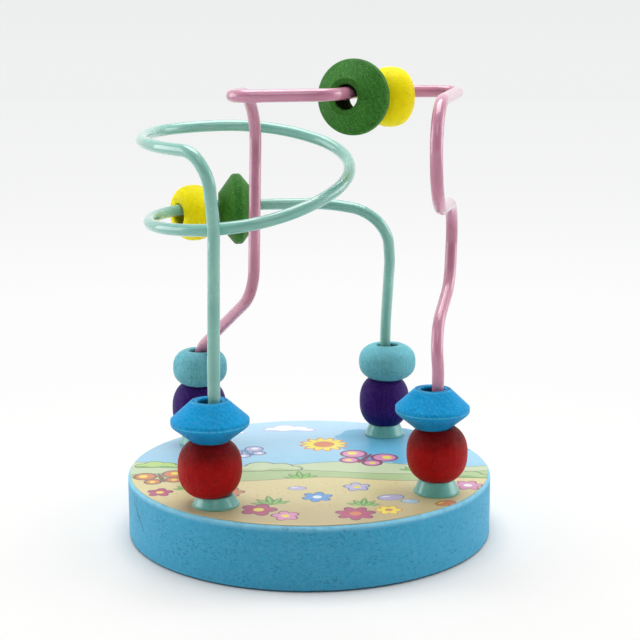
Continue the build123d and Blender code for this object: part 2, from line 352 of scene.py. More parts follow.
# The print: a thin sheet glued on the base and punched for the collars. It is printed in flat inks
# with dark outlines, under a satin film, and the plank's grain shows through it faintly.
sky_pale = (0.400, 0.640, 0.820, 1.0)
sky_blue = (0.240, 0.570, 0.780, 1.0)
pond_blue = (0.090, 0.420, 0.660, 1.0)
far_hill_green = (0.540, 0.640, 0.400, 1.0)
near_hill_green = (0.400, 0.540, 0.240, 1.0)
sand_yellow = (0.720, 0.620, 0.300, 1.0)
sand_brown = (0.500, 0.400, 0.190, 1.0)
outline_green = (0.090, 0.150, 0.060, 1.0)
outline_brown = (0.200, 0.110, 0.050, 1.0)
outline_plum = (0.200, 0.030, 0.100, 1.0)
outline_blue = (0.080, 0.160, 0.360, 1.0)
ink_white = (0.880, 0.900, 0.920, 1.0)
ink_lilac = (0.520, 0.470, 0.720, 1.0)
ink_pink = (0.680, 0.260, 0.480, 1.0)
ink_magenta = (0.450, 0.040, 0.140, 1.0)
ink_orange = (0.660, 0.200, 0.060, 1.0)
ink_yellow = (0.860, 0.740, 0.060, 1.0)
ink_leaf = (0.130, 0.420, 0.070, 1.0)
ink_lime = (0.450, 0.640, 0.160, 1.0)
ink_blue = (0.100, 0.330, 0.720, 1.0)
sunflower = {"Petals": 12.0, "Cut": 0.3, "Heart": 0.42}
plank_under_print = {"Pore_Width": 0.18, "Pore_Length": 5.0, "Pore_Onset": 0.6, "Mottle_Size": 6.0}
pond_middle = (27.0, 22.0)
pond_radius = 32.0
pond_waver = 14.0
rolling_outline_width = 0.3


def circle_distance(vector, x, y, radius):
    """Distance outside a circle, below 0 within it."""
    return minus(distance_from(vector, (x, y, 0.0)), radius)


def make_flower_effect():
    """A flower seen from above: petals, their outline and the round heart."""
    given = new_effect("printed_flower", Petals=6.0, Cut=0.35, Heart=0.28, Line=0.12)
    x, y, _ = parts(given["Vector"])
    radius = length_of(flatten(given["Vector"]))
    turn = times(maths("ARCTAN2", y, x), given["Petals"])
    wave = size_of(maths("COSINE", times(turn, 0.5)))
    edge = opposite(times(opposite(wave), given["Cut"]))
    return finish_effect(
        Line=below(radius, edge),
        Fill=below(radius, minus(edge, given["Line"])),
        Accent=below(radius, given["Heart"]))


def make_tuft_effect():
    """A fan of pointed leaves that grow from one root: leaves, their outline and their midribs."""
    given = new_effect("printed_tuft", Leaves=11.0, Width=0.13, Fan=1.3, Line=0.035)
    shortest_leaf, longest_leaf = 0.72, 0.98
    length_turns = 2.3
    rib_share = 0.16
    x, y, _ = parts(given["Vector"])
    radius = length_of(flatten(given["Vector"]))
    turn = maths("ARCTAN2", x, y)
    half_leaf = maths("DIVIDE", math.pi, given["Leaves"])
    off_leaf = maths("WRAP", turn, half_leaf, times(half_leaf, -1.0))
    leaf_turn = minus(turn, off_leaf)
    length = maths("COSINE", times(leaf_turn, length_turns))
    length = spread(length, shortest_leaf, longest_leaf)
    along = times(radius, maths("COSINE", off_leaf))
    along = maths("DIVIDE", along, length)
    across = size_of(times(radius, maths("SINE", off_leaf)))
    in_fan = below(size_of(leaf_turn), given["Fan"])
    width = maths("SINE", times(along, math.pi))
    width = times(width, given["Width"])
    line = times(times(below(along, 1.0), in_fan), below(across, width))
    fill = below(across, minus(width, given["Line"]))
    rib = below(across, times(width, rib_share))
    return finish_effect(Line=line, Fill=times(line, fill), Accent=times(line, rib))


def make_puff_effect():
    """A heap of round puffs with a flat foot, for clouds and bushes: puffs, outline and shade."""
    given = new_effect("printed_puffs", Line=0.07)
    first_puff = (-0.62, -0.08, 0.34)
    more_puffs = ((-0.18, 0.14, 0.46), (0.34, 0.04, 0.40), (0.72, -0.12, 0.26))
    melt = 0.04
    foot_height = -0.32
    shade_depth = 0.12
    place = flatten(given["Vector"])
    x, y, _ = parts(place)
    heap = circle_distance(place, *first_puff)
    for puff in more_puffs:
        heap = maths("SMOOTH_MIN", heap, circle_distance(place, *puff), melt)
    heap = larger(heap, minus(foot_height, y))
    fill = below(plus(heap, given["Line"]), 0.0)
    wave = times(maths("SINE", times(x, 7.0)), 0.07)
    shade = below(y, minus(wave, shade_depth))
    return finish_effect(Line=below(heap, 0.0), Fill=fill, Accent=times(fill, shade))


def make_butterfly_effect():
    """A butterfly with its wings open: wings, their outline with the body, and the wing spots."""
    given = new_effect("printed_butterfly", Line=0.09)
    upper_wing, lower_wing = (0.50, 0.32, 0.42), (0.36, -0.34, 0.32)
    upper_spot, lower_spot = (0.56, 0.36, 0.15), (0.38, -0.36, 0.10)
    body_half_length = 0.52
    body_slimness = 6.0
    place = flatten(given["Vector"])
    side = parts(vector_maths("ABSOLUTE", place))[0]
    folded = join_parts(side, parts(place)[1])
    wings = maths("MINIMUM", circle_distance(folded, *upper_wing),
                  circle_distance(folded, *lower_wing))
    spots = maths("MINIMUM", circle_distance(folded, *upper_spot),
                  circle_distance(folded, *lower_spot))
    slim = vector_maths("MULTIPLY", folded, (body_slimness, 1.0, 1.0))
    body = circle_distance(slim, 0.0, 0.0, body_half_length)
    fill = below(plus(wings, given["Line"]), 0.0)
    return finish_effect(
        Line=below(maths("MINIMUM", wings, body), 0.0),
        Fill=times(fill, maths("GREATER_THAN", body, 0.0)),
        Accent=below(spots, 0.0))


def make_pebble_effect():
    """A flat round pebble: its face, its outline and the shine on it."""
    given = new_effect("printed_pebble", Line=0.10)
    shine_place = (-0.30, 0.62, 0.34)
    face = vector_maths("MULTIPLY", given["Vector"], (1.0, 1.5, 0.0))
    face = circle_distance(face, 0.0, 0.0, 1.0)
    shine = vector_maths("MULTIPLY", given["Vector"], (1.0, 2.6, 0.0))
    return finish_effect(
        Line=below(face, 0.0),
        Fill=below(plus(face, given["Line"]), 0.0),
        Accent=below(circle_distance(shine, *shine_place), 0.0))


flower = make_flower_effect()
tuft = make_tuft_effect()
puffs = make_puff_effect()
butterfly = make_butterfly_effect()
pebble = make_pebble_effect()

# Each row of the print: effect, place from the middle in millimetres, size, turn in degrees, inks
# of the outline, the fill and the accent, and the effect's own values
print_rows = [
    (puffs, (-6.0, 37.0), 8.0, 0, ink_lilac, ink_white, sky_pale, {}),
    (puffs, (-24.0, 34.0), 5.5, 0, ink_lilac, ink_white, sky_pale, {}),
    (puffs, (36.0, 16.0), 6.0, 0, ink_lilac, ink_white, sky_pale, {}),
    (flower, (4.0, 21.0), 7.0, 10, ink_orange, ink_yellow, ink_orange, sunflower),
    (puffs, (-11.0, -1.5), 9.5, 4, outline_green, far_hill_green, near_hill_green, {"Line": 0.05}),
    (puffs, (39.0, -8.0), 8.0, -6, outline_green, near_hill_green, ink_leaf, {"Line": 0.05}),
    (puffs, (-40.0, 1.0), 6.5, 0, outline_green, ink_lime, ink_leaf, {"Line": 0.06}),
    (butterfly, (15.0, 7.0), 9.0, -24, outline_plum, ink_pink, ink_yellow, {}),
    (butterfly, (-17.0, 13.0), 6.5, 32, outline_blue, ink_lilac, ink_white, {}),
    (butterfly, (-38.0, -10.0), 7.5, 18, outline_brown, ink_orange, ink_yellow, {}),
    (tuft, (-2.0, -11.0), 7.0, 8, outline_green, ink_leaf, ink_lime, {}),
    (tuft, (27.0, -5.0), 6.0, -10, outline_green, ink_leaf, ink_lime, {}),
    (tuft, (-30.0, -20.0), 6.0, 14, outline_green, ink_leaf, ink_lime, {}),
    (tuft, (13.0, -33.0), 6.5, -6, outline_green, ink_leaf, ink_lime, {}),
    (tuft, (-9.0, -32.0), 7.5, 10, outline_green, ink_leaf, ink_lime, {}),
    (flower, (-12.0, -35.5), 4.6, 0, outline_plum, ink_magenta, ink_yellow, {"Petals": 5.0}),
    (flower, (-5.5, -40.0), 3.6, 30, outline_plum, ink_pink, ink_yellow, {"Petals": 5.0}),
    (flower, (11.0, -38.5), 5.0, 12, outline_plum, ink_magenta, ink_orange, {"Petals": 7.0}),
    (flower, (19.0, -36.0), 3.4, 0, ink_orange, ink_yellow, ink_orange, {"Petals": 6.0}),
    (flower, (2.0, -26.0), 4.0, 20, outline_blue, ink_blue, ink_white, {"Petals": 6.0}),
    (flower, (-20.0, -22.0), 4.2, 5, outline_brown, ink_orange, ink_yellow, {"Petals": 6.0}),
    (flower, (12.0, -18.0), 3.6, 25, outline_blue, ink_lilac, ink_yellow, {"Petals": 5.0}),
    (flower, (40.0, -17.0), 4.0, 0, outline_plum, ink_pink, ink_white, {"Petals": 6.0}),
    (flower, (-37.0, -22.0), 3.4, 15, outline_plum, ink_magenta, ink_yellow, {"Petals": 5.0}),
    (pebble, (20.0, -26.5), 3.4, 12, outline_blue, ink_lilac, ink_white, {}),
    (pebble, (24.5, -29.5), 2.3, -8, outline_blue, sky_pale, ink_white, {}),
    (pebble, (-3.0, -19.0), 2.4, 0, outline_blue, ink_lilac, ink_white, {}),
    (pebble, (33.0, -31.0), 2.8, 30, outline_brown, ink_orange, ink_yellow, {}),
]


def make_print():
    """The printed sheet: sky, pond, two hills and sand, then the motifs, under a satin film."""
    material, shader = new_material("printed_sheet_film", roughness=0.34, gloss=0.5)
    place = object_place()
    x, y, _ = parts(place)
    wash = noise(place, 0.09, detail=3.0)
    colour = lay(soft_step(y, -6.0, 42.0), sky_blue, sky_pale)
    colour = lay(wash, colour, sky_pale, strength=0.35)
    off_pond = circle_distance(place, *pond_middle, pond_radius)
    off_pond = plus(times(wash, pond_waver), off_pond)
    colour = lay(soft_step(off_pond, 0.6, 0.0), colour, pond_blue)
    sand = lay(soft_step(y, -22.0, -44.0), sand_yellow, sand_brown)
    stones = maths("GREATER_THAN", noise(place, 1.3), 0.66)
    sand = lay(stones, sand, sand_brown)
    # Each rolling line: its height, swell, reach and shift, the ink in front of it, and its own ink
    for height, swell, reach, shift, ink, line_ink in (
        (1.5, 2.6, 9.0, 0.4, far_hill_green, outline_green),
        (-5.0, 2.2, 12.0, 2.6, near_hill_green, outline_green),
        (-11.5, 1.6, 7.0, 1.1, sand, outline_brown),
    ):
        phase = plus(maths("DIVIDE", x, reach), shift)
        line = maths("MULTIPLY_ADD", maths("SINE", phase), swell, height)
        behind = minus(y, line)
        colour = lay(below(behind, rolling_outline_width), colour, line_ink)
        colour = lay(below(behind, 0.0), colour, ink)
    for motif, (across, up), size, turn, line_ink, fill_ink, accent_ink, values in print_rows:
        spot = {
            "Vector": place,
            "Location": (across, up, 0.0),
            "Rotation": (0.0, 0.0, math.radians(turn)),
            "Scale": (size, size, size),
        }
        spot = put("ShaderNodeMapping", spot, vector_type="TEXTURE")[0]
        masks = effect(motif, spot, **values)
        for label, ink in (("Line", line_ink), ("Fill", fill_ink), ("Accent", accent_ink)):
            colour = lay(masks[label], colour, ink)
    fibres = effect(wood_effect, object_place(turn=plank_turn), **plank_under_print)
    colour = lay(fibres["Pores"], colour, outline_blue, strength=0.10)
    colour = lay(noise(place, 5.0), colour, ink_white, strength=0.10)
    roughness = spread(fibres["Mottle"], 0.30, 0.42)
    finish_surface(shader, colour, roughness, fibres["Relief"], depth=0.012)
    return material


print_material = make_print()
sheet_materials = frame["nodes"]["top_print"].data.materials
for index in range(len(sheet_materials)):
    sheet_materials[index] = print_material

# The collars: four moulded plastic plugs in satin mint. Each is pressed into the base over the foot
# of a wire. Its flank runs straight down to a thin rim that hides the edge of the hole.
collar_bore_radius = 1.55
collar_plug_radius = 3.25
collar_plug_length = 7.0
collar_top_radius = 4.3
collar_flank_radius = 5.42
collar_flank_hollow = -0.03
collar_rim_height = 0.45
collar_soft_edge = 0.35
collar_sharp_edge = 0.12
collar_rib_height = 0.25
collar_rib_width = 0.8
collar_rib_count = 6
collar_segments = 180
collar_corner_steps = 6
mint_plastic = (0.190, 0.580, 0.520, 1.0)
mint_plastic_deep = (0.120, 0.460, 0.410, 1.0)
mint_plastic_scuffed = (0.460, 0.760, 0.700, 1.0)


def rounded(corners):
    """Closed outline through corners given as radius, height and how far the rounding reaches."""
    outline = []
    for index, (radius, height, rounding) in enumerate(corners):
        here = Vector((radius, height))
        before = Vector(corners[index - 1][:2])
        after = Vector(corners[(index + 1) % len(corners)][:2])
        start = here + (before - here).normalized() * rounding
        end = here + (after - here).normalized() * rounding
        for step in range(collar_corner_steps + 1):
            share = step / collar_corner_steps
            outline.append(start.lerp(here, share).lerp(here.lerp(end, share), share))
    return outline


def collar_mesh(name, x, y, deck, height):
    """A collar turned about its wire, with ribs that swell out of the plug."""
    flange = (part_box(name)[1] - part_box(name)[0]).x / MILLIMETRE / 2
    middle = (collar_flank_radius + collar_top_radius) / 2 - collar_flank_hollow
    outline = rounded([
        (collar_bore_radius, -collar_plug_length, collar_sharp_edge),
        (collar_plug_radius, -collar_plug_length, collar_sharp_edge),
        (collar_plug_radius, 0.0, collar_sharp_edge),
        (flange, 0.0, collar_sharp_edge),
        (flange, collar_rim_height, collar_sharp_edge),
        (collar_flank_radius, collar_rim_height, collar_sharp_edge),
        (middle, (collar_rim_height + height) / 2, collar_soft_edge),
        (collar_top_radius, height, collar_soft_edge),
        (collar_bore_radius, height, collar_sharp_edge),
    ])
    half_rib = collar_rib_width / 2 / collar_plug_radius
    between_ribs = 2 * math.pi / collar_rib_count
    plug_tolerance = 0.01
    count = len(outline)
    points = []
    faces = []
    for segment in range(collar_segments):
        angle = 2 * math.pi * segment / collar_segments
        off_rib = abs((angle + between_ribs / 2) % between_ribs - between_ribs / 2) / half_rib
        swell = collar_rib_height * math.sqrt(max(0.0, 1 - off_rib * off_rib))
        here = segment * count
        there = (segment + 1) % collar_segments * count
        for step, (radius, up) in enumerate(outline):
            on_plug = abs(radius - collar_plug_radius) < plug_tolerance and up < 0
            reach = radius + swell if on_plug else radius
            point = (x + reach * math.cos(angle), y + reach * math.sin(angle), deck + up)
            points.append([value * MILLIMETRE for value in point])
            after = (step + 1) % count
            faces.append((here + step, there + step, there + after, here + after))
    mesh = bpy.data.meshes.new(name)
    mesh.from_pydata(points, [], faces)
    mesh.shade_smooth()
    return mesh


def make_mint_plastic():
    """Moulded satin plastic: faintly clouded, with fine scuffs round it."""
    material, shader = new_material("moulded_mint_plastic", roughness=0.35, gloss=0.4)
    shader.inputs["Coat Weight"].default_value = 0.5
    shader.inputs["Coat Roughness"].default_value = 0.12
    place = object_place()
    cloud = noise(place, 0.35, detail=3.0)
    scuffs = vector_maths("MULTIPLY", place, (1.0, 1.0, 4.0))
    scuffs = noise(scuffs, 1.1, detail=6.0, roughness=0.75)
    scuffs = soft_step(scuffs, 0.56, 0.70)
    colour = lay(cloud, mint_plastic, mint_plastic_deep)
    colour = lay(scuffs, colour, mint_plastic_scuffed, strength=0.35)
    roughness = spread(plus(cloud, scuffs), 0.24, 0.44)
    relief = noise(place, 2.2, detail=5.0, roughness=0.6)
    finish_surface(shader, colour, roughness, relief, depth=0.03)
    return material


def add_object(name, data):
    """Put a new object in the scene, at the origin."""
    made = bpy.data.objects.new(name, data)
    bpy.context.scene.collection.objects.link(made)
    return made


collar_material = make_mint_plastic()
for corner in ("front_left", "front_right", "back_right", "back_left"):
    collar_node = f"{corner}_collar"
    low, high = (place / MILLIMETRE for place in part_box(collar_node))
    centre = (low + high) / 2
    deck = low.z + collar_plug_length
    mesh = collar_mesh(collar_node, centre.x, centre.y, deck, high.z - deck)
    mesh.materials.append(collar_material)
    collar = add_object(f"{collar_node}_moulded", mesh)
    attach(collar, "frame")
    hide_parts(collar_node)

# The wires: two lengths of steel wire bent cold on formers and dipped in enamel, one mint and one
# pink. Straight runs join round bends, and both ends stand in the base with their edges chamfered.
wire_diameter = 3.0
wire_chamfer = 0.4
wire_bend_steps = 28
wire_round_steps = 48
wire_foot = 4.65
# Each row of a route: place of the corner where two runs would meet, and radius of its bend
wire_routes = {
    "mint_wire": [
        (-22.467, -31.265, wire_foot, 0.0),
        (-22.467, -31.265, 50.053, 30.030),
        (-21.906, -31.147, 83.082, 20.020),
        (-22.599, -34.727, 94.432, 7.315),
        (-25.988, -33.726, 100.788, 6.545),
        (-44.198, -16.632, 101.809, 34.650),
        (-37.922, 15.939, 104.193, 16.170),
        (-10.895, 18.364, 105.215, 35.420),
        (10.665, 3.503, 99.199, 22.330),
        (9.895, -16.324, 92.162, 20.790),
        (-5.120, -30.146, 84.558, 25.410),
        (-24.717, -26.642, 81.720, 25.795),
        (-40.040, -14.822, 81.266, 23.100),
        (-40.040, 18.865, 83.195, 21.175),
        (4.620, 18.095, 83.990, 26.565),
        (20.636, 11.396, 81.834, 10.010),
        (21.945, 19.327, 68.213, 20.790),
        (21.584, 31.881, 47.352, 18.095),
        (21.584, 31.881, wire_foot, 0.0),
    ],
    "pink_wire": [
        (-30.948, 22.901, wire_foot, 0.0),
        (-30.948, 22.901, 42.664, 10.010),
        (-14.014, -4.543, 62.992, 11.550),
        (-12.975, -1.424, 114.067, 12.320),
        (-18.942, -28.605, 113.046, 5.005),
        (5.390, -27.335, 113.386, 6.160),
        (13.860, -9.240, 113.954, 8.085),
        (38.115, -1.155, 113.840, 3.850),
        (28.259, -42.889, 111.684, 10.780),
        (29.029, -40.117, 87.508, 12.705),
        (36.691, -2.887, 86.600, 10.395),
        (35.767, -5.082, 65.716, 8.470),
        (30.877, -21.945, 56.636, 11.165),
        (31.614, -21.973, 46.989, 29.645),
        (31.614, -21.973, wire_foot, 0.0),
    ],
}
# Each enamel: its film, the film where it is thick, and the dust under it
wire_enamels = {
    "mint_wire": ((0.250, 0.560, 0.470, 1.0), (0.190, 0.480, 0.410, 1.0),
                  (0.550, 0.760, 0.690, 1.0)),
    "pink_wire": ((0.640, 0.265, 0.395, 1.0), (0.540, 0.200, 0.310, 1.0),
                  (0.860, 0.600, 0.680, 1.0)),
}


def make_enamel(name, film, thick, dust):
    """Glossy dipped enamel: uneven film, a few specks of dust under it, and a barely wavy skin."""
    material, shader = new_material(name, roughness=0.25, gloss=0.35)
    shader.inputs["Coat Weight"].default_value = 1.0
    shader.inputs["Coat Roughness"].default_value = 0.05
    place = object_place()
    flow = noise(place, 0.09)
    specks = soft_step(noise(place, 1.6, roughness=0.6), 0.70, 0.78)
    colour = lay(soft_step(flow, 0.3, 0.7), film, thick)
    colour = lay(specks, colour, dust, strength=0.3)
    roughness = spread(plus(flow, specks), 0.22, 0.34)
    finish_surface(shader, colour, roughness, noise(place, 0.3, detail=1.0), depth=0.02)
    return material


def new_shape_tree(name, lengths, counts):
    """Start a Geometry Nodes tree that takes a mesh, named sizes, named counts and a finish."""
    tree = bench["tree"] = bpy.data.node_groups.new(name, "GeometryNodeTree")
    tree.is_modifier = True
    kinds = {"Geometry": "Geometry", **dict.fromkeys(lengths, "Float"),
             **dict.fromkeys(counts, "Int"), "Finish": "Material"}
    for label, kind in kinds.items():
        tree.interface.new_socket(label, in_out="INPUT", socket_type=f"NodeSocket{kind}")
    tree.interface.new_socket("Geometry", in_out="OUTPUT", socket_type="NodeSocketGeometry")
    return tree.nodes.new("NodeGroupInput").outputs


def finish_shape_tree(shape, finish):
    """Shade the shape smooth, make it real, give it its finish, and put it out."""
    shape = put("GeometryNodeSetShadeSmooth", {"Geometry": shape})[0]
    shape = put("GeometryNodeRealizeInstances", {"Geometry": shape})[0]
    finished = {"Geometry": shape, "Material": finish}
    finished = put("GeometryNodeSetMaterial", finished)[0]
    join(finished, bench["tree"].nodes.new("NodeGroupOutput").inputs["Geometry"])
    return bench["tree"]


def make_wire_tree():
    """Geometry Nodes that bend a wire: a route's corners are rounded, and a ring drawn along it."""
    given = new_shape_tree("bent_wire", ["Wire Radius"], ["Bend Steps", "Round Steps"])
    route = put("GeometryNodeMeshToCurve", {"Mesh": given["Geometry"]})[0]
    radius = put("GeometryNodeInputNamedAttribute", {"Name": "bend_radius"})[0]
    bends = {"Curve": route, "Count": given["Bend Steps"], "Radius": radius, "Limit Radius": True}
    route = put("GeometryNodeFilletCurve", bends, mode="POLY")[0]
    slimness = put("GeometryNodeInputNamedAttribute", {"Name": "slimness"})[0]
    route = {"Curve": route, "Radius": slimness}
    route = put("GeometryNodeSetCurveRadius", route)[0]
    ring = {"Resolution": given["Round Steps"], "Radius": given["Wire Radius"]}
    ring = put("GeometryNodeCurvePrimitiveCircle", ring)[0]
    drawn = {"Curve": route, "Profile Curve": ring, "Fill Caps": True}
    wire = put("GeometryNodeCurveToMesh", drawn)[0]
    return finish_shape_tree(wire, given["Finish"])


def shape_piece(name, mesh, tree, values):
    """A piece that a Geometry Nodes tree shapes with its own values, turned into a plain mesh."""
    piece = add_object(name, mesh)
    shaping = piece.modifiers.new("shaping", "NODES")
    shaping.node_group = tree
    for socket in tree.interface.items_tree:
        if socket.in_out == "INPUT" and socket.name in values:
            shaping[socket.identifier] = values[socket.name]
    depsgraph = bpy.context.evaluated_depsgraph_get()
    shaped = piece.evaluated_get(depsgraph)
    piece.data = bpy.data.meshes.new_from_object(shaped, depsgraph=depsgraph)
    piece.modifiers.clear()
    return piece


wire_tree = make_wire_tree()
for wire_node, corners in wire_routes.items():
    first, last = corners[0], corners[-1]
    first_edge = (first[0], first[1], first[2] + wire_chamfer, 0.0)
    last_edge = (last[0], last[1], last[2] + wire_chamfer, 0.0)
    route = [first, first_edge, *corners[1:-1], last_edge, last]
    slim = (wire_diameter - 2 * wire_chamfer) / wire_diameter
    mesh = bpy.data.meshes.new(wire_node)
    steps = [(index, index + 1) for index in range(len(route) - 1)]
    mesh.from_pydata([Vector(corner[:3]) * MILLIMETRE for corner in route], steps, [])
    for label, values in (
        ("bend_radius", [corner[3] * MILLIMETRE for corner in route]),
        ("slimness", [slim] + [1.0] * (len(route) - 2) + [slim]),
    ):
        mesh.attributes.new(label, "FLOAT", "POINT").data.foreach_set("value", values)
    wire = shape_piece(f"{wire_node}_bent", mesh, wire_tree, {
        "Wire Radius": wire_diameter / 2 * MILLIMETRE,
        "Bend Steps": wire_bend_steps,
        "Round Steps": wire_round_steps,
        "Finish": make_enamel(f"{wire_node}_enamel", *wire_enamels[wire_node]),
    })
    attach(wire, "frame")
    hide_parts(wire_node)

# The beads: twelve small hardwood beads, turned and drilled on a lathe and tumbled in paint. The
# lathe leaves a flat land with a fine groove round each hole. The paint sinks into the grain, and
# the bores stay rough, with painted shade inside them. A band of painted shade darkens each red
# ball under the blue bead above it and the lower side of the blue, teal and purple beads, and
# painted highlights lighten the land edges and the lower belt edge of the double cones.
bead_bore = 6.0
bead_land = 9.0
bead_belt = 2.0
bead_bore_edge = 0.35
bead_land_edge = 0.4
bead_belt_softness = 0.8
stacked_cone_lower_belt = 0.9
stacked_cone_lower_softness = 0.2
bead_profile_points = 84
bead_turned_segments = 144
bead_edge_steps = 6
ball_fullness = 2.35
oblate_fullness = 2.5
top_green_tilt = 3.0
loop_green_turn = 6.0
groove_radius = 3.9
groove_width = 0.28
land_edge_width = 0.45
belt_edge_width = 0.32
ring_spacing = 1.15
ring_waver = 5.0
heart_distance = 24.0
blank_spacing = 7.3
bead_fibres = {"Pore_Width": 0.26, "Pore_Length": 1.0, "Pore_Onset": 0.56, "Mottle_Size": 3.0}
# Near black colour of the painted shade inside the bores
bead_bore_shade = (0.020, 0.020, 0.006, 1.0)
# Each bead: its form, its diameter and its height along the hole
bead_sizes = {
    "front_left_red_bead": ("ball", 15.50, 13.19),
    "front_left_blue_bead": ("double_cone", 18.90, 9.81),
    "front_right_red_bead": ("ball", 15.10, 13.00),
    "front_right_blue_bead": ("double_cone", 18.29, 9.69),
    "back_right_purple_bead": ("ball", 14.19, 13.19),
    "back_right_teal_bead": ("oblate", 16.10, 9.81),
    "back_left_purple_bead": ("ball", 15.00, 14.00),
    "back_left_teal_bead": ("oblate", 14.89, 9.54),
    "loop_green_bead": ("double_cone", 18.90, 9.69),
    "loop_yellow_bead": ("oblate", 14.79, 9.39),
    "top_green_bead": ("double_cone", 18.20, 9.81),
    "top_yellow_bead": ("oblate", 14.59, 9.39),
}
# Each paint: its colour, where it lies deep and also its painted shade, where it is thin and also
# its painted highlight, how coarse the wood is under it, the depth of the groove round the hole
# (which also sets how strong the painted edge highlights are), and the height and strength of a
# band of painted shade
bead_paints = {
    "red": {
        "paint": (0.400, 0.002, 0.003, 1.0), "deep_and_shade": (0.095, 0.000, 0.001, 1.0),
        "thin": (0.520, 0.050, 0.040, 1.0), "coarseness": 0.8, "groove_depth": 0.3,
        "shade_band_height": 0.85, "shade_band_strength": 0.8,
    },
    "blue": {
        "paint": (0.000, 0.355, 0.760, 1.0), "deep_and_shade": (0.000, 0.085, 0.250, 1.0),
        "thin": (0.150, 0.660, 0.960, 1.0), "coarseness": 0.9, "groove_depth": 1.2,
        "shade_band_height": -0.6, "shade_band_strength": 0.5,
    },
    "purple": {
        "paint": (0.032, 0.005, 0.135, 1.0), "deep_and_shade": (0.000, 0.006, 0.105, 1.0),
        "thin": (0.210, 0.110, 0.360, 1.0), "coarseness": 0.7, "groove_depth": 0.2,
        "shade_band_height": -0.9, "shade_band_strength": 0.9,
    },
    "teal": {
        "paint": (0.160, 0.520, 0.615, 1.0), "deep_and_shade": (0.060, 0.240, 0.280, 1.0),
        "thin": (0.460, 0.820, 0.880, 1.0), "coarseness": 0.8, "groove_depth": 0.5,
        "shade_band_height": -0.6, "shade_band_strength": 0.42,
    },
    "green": {
        "paint": (0.040, 0.200, 0.024, 1.0), "deep_and_shade": (0.004, 0.050, 0.003, 1.0),
        "thin": (0.180, 0.520, 0.110, 1.0), "coarseness": 1.4, "groove_depth": 0.1,
        "shade_band_height": -0.9, "shade_band_strength": 0.0,
    },
    "yellow": {
        "paint": (1.000, 0.860, 0.000, 1.0), "deep_and_shade": (0.840, 0.650, 0.000, 1.0),
        "thin": (1.000, 0.940, 0.060, 1.0), "coarseness": 0.7, "groove_depth": 0.3,
        "shade_band_height": -0.9, "shade_band_strength": 0.0,
    },
}


def choose(share, first, second):
    """The first value where a share is 0, and the second where it is 1."""
    return put("ShaderNodeMix", {0: share, 2: first, 3: second})[0]


def make_bead_tree():
    """Geometry Nodes that turn one bead about Z: a closed half section swept round its axis."""
    given = new_shape_tree("turned_bead", [
        "Bore", "Land", "Diameter", "Height", "Fullness", "Land Reach", "Cone", "Belt",
        "Belt Softness", "Lower Belt", "Lower Softness", "Bore Edge", "Land Edge", "Batch",
    ], ["Profile Points", "Turned Segments"])
    half, radius, bore, land = (
        times(given[label], 0.5) for label in ("Height", "Diameter", "Bore", "Land")
    )
    index = put("GeometryNodeInputIndex")[0]
    last = minus(given["Profile Points"], 1.0)
    climb = maths("DIVIDE", minus(index, 1.0), minus(last, 2.0))
    climb = put("ShaderNodeClamp", {0: climb})[0]
    swing = maths("SINE", times(minus(climb, 0.5), math.pi))
    height = times(swing, half)
    rise = times(size_of(swing), given["Land Reach"])
    fall = opposite(maths("POWER", rise, given["Fullness"]))
    round_side = maths("POWER", fall, maths("DIVIDE", 1.0, given["Fullness"]))
    round_side = times(round_side, radius)
    lower = below(height, 0.0)
    half_belt = times(choose(lower, given["Belt"], given["Lower Belt"]), 0.5)
    softness = choose(lower, given["Belt Softness"], given["Lower Softness"])
    slope = maths("DIVIDE", minus(radius, land), minus(half, half_belt))
    past_belt = minus(size_of(height), half_belt)
    cone_side = minus(radius, times(past_belt, slope))
    cone_side = maths("SMOOTH_MIN", radius, cone_side, softness)
    side = choose(given["Cone"], round_side, cone_side)
    at_end = maths("GREATER_THAN", index, minus(last, 0.5))
    in_bore = larger(below(index, 0.5), at_end)
    reach = choose(in_bore, side, bore)

    outline = {"Resolution": given["Profile Points"]}
    outline = put("GeometryNodeCurvePrimitiveCircle", outline)[0]
    corner = join_parts(minus(reach, bore), height)
    outline = {"Geometry": outline, "Position": corner}
    outline = put("GeometryNodeSetPosition", outline)[0]
    on_land = maths("COMPARE", size_of(swing), 1.0, 0.00001)
    edge = times(choose(in_bore, given["Land Edge"], given["Bore Edge"]), on_land)
    outline = {"Curve": outline, "Count": bead_edge_steps, "Radius": edge, "Limit Radius": True}
    outline = put("GeometryNodeFilletCurve", outline, mode="POLY")[0]
    circle = {"Resolution": given["Turned Segments"], "Radius": bore}
    circle = put("GeometryNodeCurvePrimitiveCircle", circle)[0]
    turning = {"Curve": circle, "Profile Curve": outline}
    bead = put("GeometryNodeCurveToMesh", turning)[0]

    place = {0: put("GeometryNodeInputPosition")[0], "Scale": 1 / MILLIMETRE}
    place = put("ShaderNodeVectorMath", place, operation="SCALE")[0]
    beltless = times(opposite(given["Cone"]), 1000.0)
    belt_edge = maths("DIVIDE", given["Lower Belt"], 2 * MILLIMETRE)
    for label, value, kind in (
        ("lathe", place, "FLOAT_VECTOR"),
        ("batch", given["Batch"], "FLOAT"),
        ("half_height", maths("DIVIDE", half, MILLIMETRE), "FLOAT"),
        ("belt_edge", plus(belt_edge, beltless), "FLOAT"),
    ):
        stored = {"Geometry": bead, "Name": label, "Value": value}
        bead = put("GeometryNodeStoreNamedAttribute", stored, data_type=kind)[0]
    return finish_shape_tree(bead, given["Finish"])


